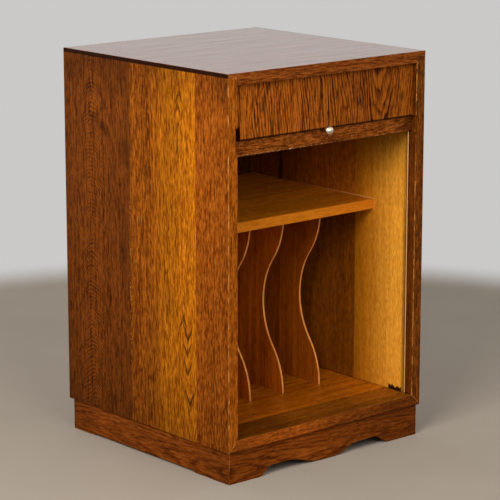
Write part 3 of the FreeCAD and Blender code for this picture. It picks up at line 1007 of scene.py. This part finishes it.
def new_piece(name, mesh):
    """An object in the scene, made of a bmesh."""
    data = bpy.data.meshes.new(name)
    mesh.to_mesh(data)
    piece = bpy.data.objects.new(name, data)
    bpy.context.scene.collection.objects.link(piece)
    return piece


def tube(name, sections):
    """A closed piece through sections that have the same number of corners."""
    mesh = bmesh.new()
    rows = [[mesh.verts.new(corner) for corner in section] for section in sections]
    for below, above in zip(rows, rows[1:]):
        for k in range(len(below)):
            n = (k + 1) % len(below)
            mesh.faces.new((below[k], below[n], above[n], above[k]))
    mesh.faces.new(rows[0][::-1])
    mesh.faces.new(rows[-1])
    bmesh.ops.recalc_face_normals(mesh, faces=mesh.faces)
    return new_piece(name, mesh)


# The shutter's slats as one curtain, in metres, gathered behind the fascia, each point also keeping the place
# it takes when the lead rail is let down
slat_gap = 0.0008
slat_pitch = slat_high.z - slat_low.z + slat_gap
slat_round = 0.0015
slat_web = 0.0015
curtain_rise = 0.0204
curtain_top = slat_high.z + curtain_rise
curtain_low = slat_high.z + slat_gap / 2
curtain_slats = 26
halvings = 40
slat_shade = 0.25


def rest_height(closed):
    """The height at rest from which the blend lets a point down to its closed height."""
    low, high = 0.0, 1.0
    for _ in range(halvings):
        share = (low + high) / 2
        drop = share * (curtain_top - curtain_low) + share * share * (3 - 2 * share) * travel
        if curtain_top - drop > closed:
            low = share
        else:
            high = share
    return curtain_top - share * (curtain_top - curtain_low)


def curtain_profile():
    """The curtain's section from its lowest slat up, as (y, closed height) points on its front."""
    points = []
    face = slat_low.y
    groove = slat_high.y - slat_web
    base = curtain_low - travel
    for k in range(curtain_slats):
        low = base + k * slat_pitch + slat_gap / 2
        high = low + slat_pitch - slat_gap
        points += [(groove, low), (face + slat_round, low), (face, low + slat_round),
                   (face, high - slat_round), (face + slat_round, high), (groove, high)]
    return points


def make_curtain():
    """The curtain at rest, where each point also keeps its place when the shutter is closed."""
    half = slat_high.x
    rear = slat_high.y
    sections = []
    closed_heights = []
    for y, closed in curtain_profile():
        z = rest_height(closed)
        section = [(-half, y, z), (half, y, z), (half, rear, z), (-half, rear, z)]
        sections.append(section)
        closed_heights += [closed] * len(section)
    piece = tube("curtain", sections)
    place = piece.data.attributes.new("closed_place", "FLOAT_VECTOR", "POINT")
    for vertex, closed, item in zip(piece.data.vertices, closed_heights, place.data):
        item.vector = (vertex.co.x, vertex.co.y, closed)
    return piece


def curtain_material():
    """The slats' oak at their closed places, each slat a little darker or lighter."""
    t = Surface("curtain_oak", "zyx", "closed_place")
    colour, relief = oak(t, slat_board)
    which = t.math("FLOOR", t.math("DIVIDE", t.z, slat_pitch / mm))
    own = t.add("TexWhiteNoise", noise_dimensions="1D")
    t.feed(own.inputs["W"], which)
    colour = t.darken(colour, own.outputs["Value"], slat_shade)
    return t.finish(colour, relief)


curtain = make_curtain()
curtain.data.materials.append(curtain_material())
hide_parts("slat_02")
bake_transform(curtain)


# The canvas that the slats are glued to, in metres
canvas_thickness = 0.0005
bend_radius = 0.0445
bend_steps = 16


def canvas_path(inset):
    """The canvas's section from the lead rail up, over and down behind, as (y, z) points."""
    radius = bend_radius - inset
    turn_z = canvas_high.z - bend_radius
    near = canvas_low.y + bend_radius
    far = canvas_high.y - bend_radius
    angles = [math.pi / 2 * k / bend_steps for k in range(bend_steps + 1)]
    points = [(canvas_low.y + inset, slat_low.z)]
    points += [(near - radius * math.cos(a), turn_z + radius * math.sin(a)) for a in angles]
    points += [(far + radius * math.sin(a), turn_z + radius * math.cos(a)) for a in angles]
    points += [(canvas_high.y - inset, canvas_low.z)]
    return points


def make_canvas():
    """The canvas, with its thickness, over its stored path."""
    low, high = canvas_low.x, canvas_high.x
    sections = []
    for outer, inner in zip(canvas_path(0.0), canvas_path(canvas_thickness)):
        sections.append([(low, *outer), (high, *outer), (high, *inner), (low, *inner)])
    return tube("canvas_sheet", sections)


# The canvas's threads in millimetres, how much weave and age tint it, its dark tones as painted shade, and
# its finish
thread = 0.9
weave_share = 0.3
age_share = 0.7
age_cycles = (0.02, 0.02, 0.02)
# Dark tones: painted shade behind the fascia
canvas_shaded_tones = ((0.2, srgb(64, 48, 32)), (0.8, srgb(104, 82, 56)))
canvas_rough = 0.85
canvas_gloss = 0.2


def canvas_material():
    """Plain-woven cotton: crossing threads, slubs and age, in dark tones that are painted shade."""
    t = Surface("canvas_weave", "xyz")
    warp = t.math("SINE", t.times(t.x, math.pi / thread))
    run = t.total(t.y, t.z)
    weft = t.math("SINE", t.times(run, math.pi / thread))
    weave = t.math("MULTIPLY_ADD", t.times(warp, weft), 0.5, 0.5)
    age = t.noise(t.place, age_cycles, rich)
    tint = t.total(t.times(weave, weave_share), t.times(age, age_share))
    colour = t.ramp(tint, canvas_shaded_tones)
    return t.finish(colour, weave, canvas_rough, canvas_gloss)


canvas_sheet = make_canvas()
canvas_sheet.data.materials.append(canvas_material())
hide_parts("canvas")
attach(canvas_sheet, "cabinet")


# A plain pale floor that fades into the backdrop
floor_radius = 1.6
floor_segments = 96
floor_fade = (1.3, 1.58)
stage_tones = ((0.2, srgb(156, 146, 133)), (0.8, srgb(162, 152, 139)))
floor_cycles = (0.004, 0.004, 0.004)
floor_rough = 0.8
floor_gloss = 0.1
floor_relief = 0.05


def floor_stage():
    """The round floor, with a material that turns clear towards its rim."""
    mesh = bmesh.new()
    bmesh.ops.create_circle(mesh, cap_ends=True, segments=floor_segments, radius=floor_radius)
    piece = new_piece("stage_floor", mesh)
    t = Surface("stage_floor", "xyz")
    tone = t.noise(t.place, floor_cycles, rich)
    colour = t.ramp(tone, stage_tones)
    material = t.finish(colour, tone, floor_rough, floor_gloss, bump_strength=floor_relief)
    clear = t.add("BsdfTransparent")
    mix = t.add("MixShader")
    reach = t.vector("LENGTH", t.join(t.x, t.y, 0.0))
    t.feed(mix.inputs[0], t.fade(reach, floor_fade[0] / mm, floor_fade[1] / mm))
    t.feed(mix.inputs[1], t.shader.outputs[0])
    t.feed(mix.inputs[2], clear.outputs[0])
    t.feed(t.tree.nodes["Material Output"].inputs["Surface"], mix.outputs[0])
    piece.data.materials.append(material)


floor_stage()


# Soft light: one large key from the left, weak fills from the front, the right and behind, and an even world
light_target = Vector((0.0, 0.0, 0.4))


def area_light(name, azimuth, elevation, distance, size, power, tint):
    """A square soft light that looks at the cabinet's middle."""
    light = bpy.data.lights.new(name, "AREA")
    light.size = size
    light.energy = power
    light.color = tint
    lamp = bpy.data.objects.new(name, light)
    bpy.context.scene.collection.objects.link(lamp)
    aim = aim_from(azimuth, elevation)
    lamp.location = light_target + aim * distance
    lamp.rotation_euler = aim.to_track_quat("Z", "Y").to_euler()


def aim_from(azimuth, elevation):
    """The direction towards a viewer at an azimuth, measured from the front, and an elevation, in degrees."""
    a, e = math.radians(azimuth), math.radians(elevation)
    return Vector((math.sin(a) * math.cos(e), -math.cos(a) * math.cos(e), math.sin(e)))


area_light("key", azimuth=-63, elevation=32, distance=2.6, size=1.2, power=57, tint=(1.0, 0.97, 0.93))
area_light("fill", azimuth=-12, elevation=30, distance=3, size=2, power=38, tint=(1.0, 0.97, 0.94))
for name, azimuth, power in (("right_fill", 80, 16), ("back_fill", 184, 20)):
    area_light(name, azimuth, elevation=22, distance=3, size=2, power=power, tint=(1.0, 0.98, 0.96))


# The wall that shows, from its foot up, by the height of the view's direction, and the world's even light
horizon = (-0.06, 0.12)
wall_foot = srgb(202, 201, 200)
wall_head = (0.785, 0.795, 0.79, 1.0)
even_light = (0.30, 0.295, 0.29, 1.0)


def world():
    """An even soft world for light; the camera and the polish see a pale wall that brightens upwards."""
    space = bpy.data.worlds.new("studio")
    space.use_nodes = True
    bpy.context.scene.world = space
    t = Shader(space.node_tree)
    background = space.node_tree.nodes["Background"]
    path = t.add("LightPath").outputs
    mirrored = t.math("MAXIMUM", path["Is Glossy Ray"], path["Is Transmission Ray"])
    seen = t.math("MAXIMUM", path["Is Camera Ray"], mirrored)
    height = t.split(t.add("TexCoord").outputs["Generated"])[2]
    wall = t.blend(t.fade(height, *horizon), wall_foot, wall_head)
    colour = t.blend(seen, even_light, wall)
    t.feed(background.inputs["Color"], colour)
    background.inputs["Strength"].default_value = 1.0


world()


# The camera, where the picture was taken from
camera_azimuth = -40.965
camera_elevation = 12.619
camera_distance = 4.3526
camera_target = Vector((0.01636, 0.0, 0.36444))
picture_side = 500
focal_pixels = 2231.66


def camera():
    """The scene's camera, aimed at its target."""
    data = bpy.data.cameras.new("camera")
    data.lens = focal_pixels / picture_side * data.sensor_width
    lens = bpy.data.objects.new("camera", data)
    bpy.context.scene.collection.objects.link(lens)
    aim = aim_from(camera_azimuth, camera_elevation)
    lens.location = camera_target + aim * camera_distance
    lens.rotation_euler = aim.to_track_quat("Z", "Y").to_euler()
    bpy.context.scene.camera = lens


camera()
bpy.context.scene.view_settings.view_transform = "Standard"
